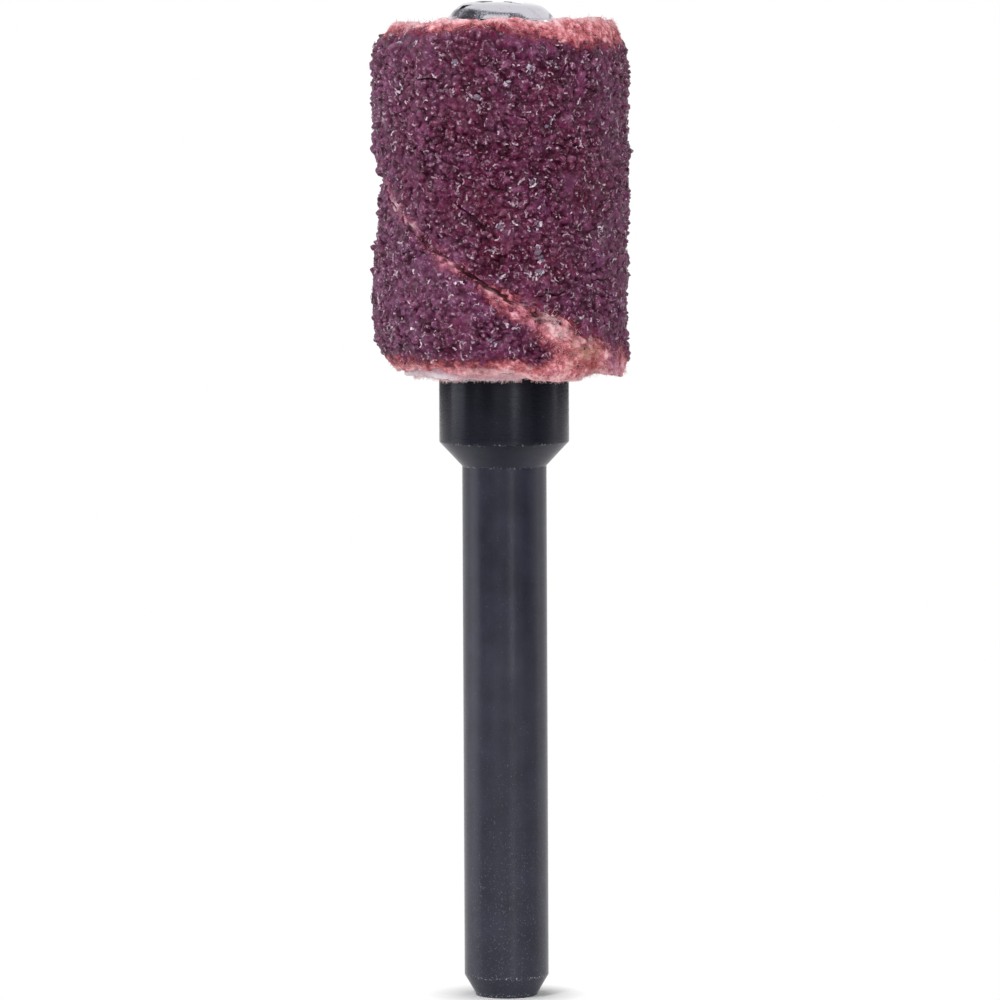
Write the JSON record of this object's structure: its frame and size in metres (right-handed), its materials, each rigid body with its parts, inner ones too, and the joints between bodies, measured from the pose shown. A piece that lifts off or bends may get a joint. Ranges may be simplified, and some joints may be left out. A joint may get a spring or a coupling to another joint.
{
  "type": "sanding band on expanding mandrel",
  "caption": "Spiral-wound abrasive band gripped by an expanding rubber drum on a straight-shank mandrel, with a clamp screw in its end.",
  "frame": {"origin": "centre of the shank's end face", "axes": "+Z along the axis from the shank to the screw's head, -Y the side of the picture's camera, +X to its right"},
  "size_m": [0.0098, 0.0098, 0.0375],
  "materials": {
    "black_steel": "black oxide over fine turning marks, worn pale at the edges",
    "drum_rubber": "matte black",
    "washer_steel": "zinc plated",
    "screw_plating": "bright plated",
    "liner_paper": "white, fibrous edge",
    "backing_cloth": "coral resin-filled cloth with frayed edges",
    "abrasive_grit": "purple-brown grains in clear resin, with glassy glints"
  },
  "bodies": {
    "mandrel": {"mandrel": "black_steel", "rubber_drum": "drum_rubber", "band_liner": "liner_paper", "band_cloth": "backing_cloth", "band_grit": "abrasive_grit"},
    "washer": {"top_washer": "washer_steel"},
    "screw": {"clamp_screw": "screw_plating"}
  },
  "joints": [
    {"name": "washer_lift", "type": "slide", "parent": "mandrel", "child": "washer", "axis": [0, 0, 1], "range_m": [0, 0.00112], "deforming": ["rubber_drum"]},
    {"name": "screw_turn", "type": "hinge", "parent": "washer", "child": "screw", "pos_m": [0, 0, 0.03608], "axis": [0, 0, 1], "range_deg": [0, 900]}
  ],
  "couplings": [
    {"joint": "screw_turn", "follows": "washer_lift", "rad_per_m": 13963}
  ]
}
